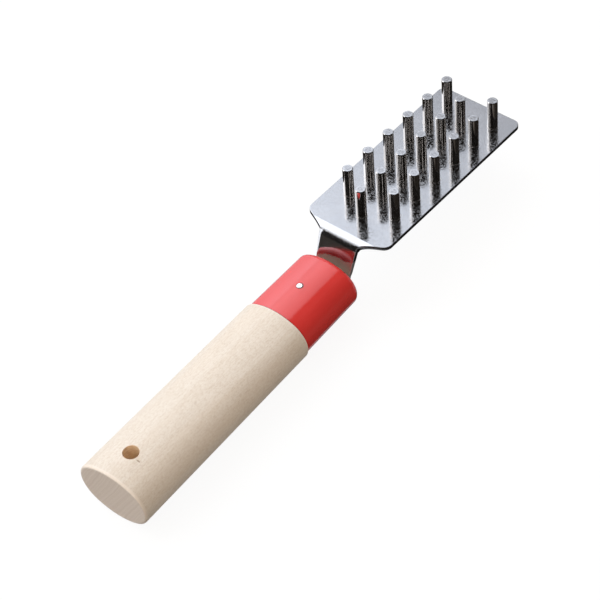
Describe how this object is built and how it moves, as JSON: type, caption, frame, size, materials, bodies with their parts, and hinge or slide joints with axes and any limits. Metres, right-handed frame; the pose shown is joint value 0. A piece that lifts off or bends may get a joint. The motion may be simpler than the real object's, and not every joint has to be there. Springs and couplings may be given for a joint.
{
  "type": "pin scraper",
  "caption": "Hand scraper: oval wooden handle with a plastic ferrule and a cranked steel plate that carries staggered rows of blunt pins.",
  "frame": {"origin": "centre of the hanging hole, midway through the handle", "axes": "+X along the handle towards the head, +Z along the hanging hole towards the side the pins stand on, +Y to the left seen from the handle with the pins up"},
  "size_m": [0.2134, 0.0366, 0.0389],
  "materials": {
    "wood": "fine sanded pale wood, unvarnished",
    "red_plastic": "smooth glossy moulded red",
    "plate_steel": "polished stainless sheet with a faint grain",
    "pin_steel": "bright turned steel",
    "cross_pin_steel": "bright pin end, dressed flush"
  },
  "bodies": {
    "root": {"handle_grip": "wood", "ferrule": "red_plastic", "cross_pin": "cross_pin_steel", "head_plate": "plate_steel", "pin_left_1": "pin_steel", "pin_left_2": "pin_steel", "pin_left_3": "pin_steel", "pin_left_4": "pin_steel", "pin_left_5": "pin_steel", "pin_left_6": "pin_steel", "pin_middle_1": "pin_steel", "pin_middle_2": "pin_steel", "pin_middle_3": "pin_steel", "pin_middle_4": "pin_steel", "pin_middle_5": "pin_steel", "pin_middle_6": "pin_steel", "pin_right_1": "pin_steel", "pin_right_2": "pin_steel", "pin_right_3": "pin_steel", "pin_right_4": "pin_steel", "pin_right_5": "pin_steel", "pin_right_6": "pin_steel"}
  },
  "joints": []
}
